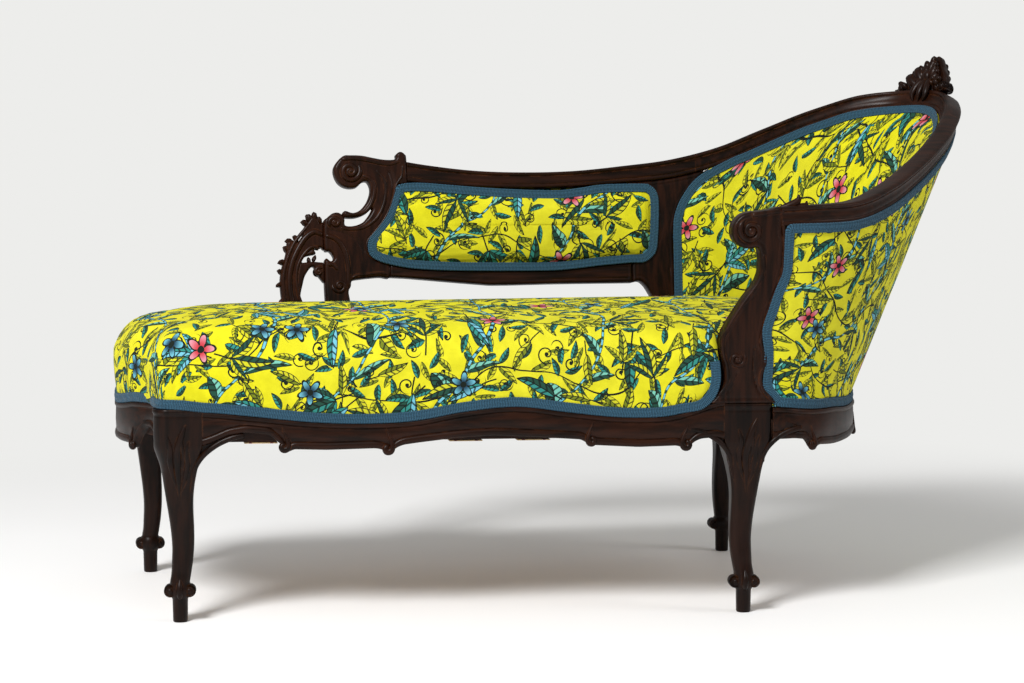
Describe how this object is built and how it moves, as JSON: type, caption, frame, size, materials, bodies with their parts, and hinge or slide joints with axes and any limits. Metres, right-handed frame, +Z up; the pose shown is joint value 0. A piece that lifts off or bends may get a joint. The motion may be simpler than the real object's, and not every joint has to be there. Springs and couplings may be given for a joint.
{
  "type": "fainting couch",
  "caption": "Small carved daybed with a cushioned seat, one raised rounded head end, a short padded back with an open scroll, and curved legs.",
  "frame": {"origin": "on the floor, under the middle of the couch's box", "axes": "+X towards the raised head end, +Y towards the back, +Z up"},
  "size_m": [1.4735, 0.641, 0.8794],
  "materials": {
    "carved_wood": "dark stained, satin polish",
    "plain_wood": "raw",
    "print_cloth": "printed woven cotton",
    "braid": "ribbed braid",
    "jute": "coarse weave",
    "spring_wire": "coppered steel wire, dull"
  },
  "bodies": {
    "root": {"front_left_leg": "carved_wood", "front_right_leg": "carved_wood", "back_left_leg": "carved_wood", "back_right_leg": "carved_wood", "front_seat_rail": "carved_wood", "foot_end_rail": "carved_wood", "head_end_rail": "carved_wood", "back_seat_rail": "carved_wood", "corner_blocks": "plain_wood", "rail_dowels": "plain_wood", "arm_post": "carved_wood", "arm_rail": "carved_wood", "head_crest_rail": "carved_wood", "back_crest_rail": "carved_wood", "crest_ornament": "carved_wood", "end_stile": "carved_wood", "scroll_bracket": "carved_wood", "back_bottom_rail": "carved_wood", "back_stile": "carved_wood", "wall_uprights": "plain_wood", "seat_webbing": "jute", "seat_springs": "spring_wire", "seat_hessian": "jute", "seat_stuffing": "jute", "seat_cover": "print_cloth", "seat_braid": "braid", "wall_webbing": "jute", "wall_inner_pad": "print_cloth", "wall_outer_cover": "print_cloth", "wall_inner_braid": "braid", "wall_outer_braid": "braid", "panel_pad": "print_cloth", "panel_outer_cover": "print_cloth", "panel_braid": "braid", "panel_outer_braid": "braid"}
  },
  "joints": []
}
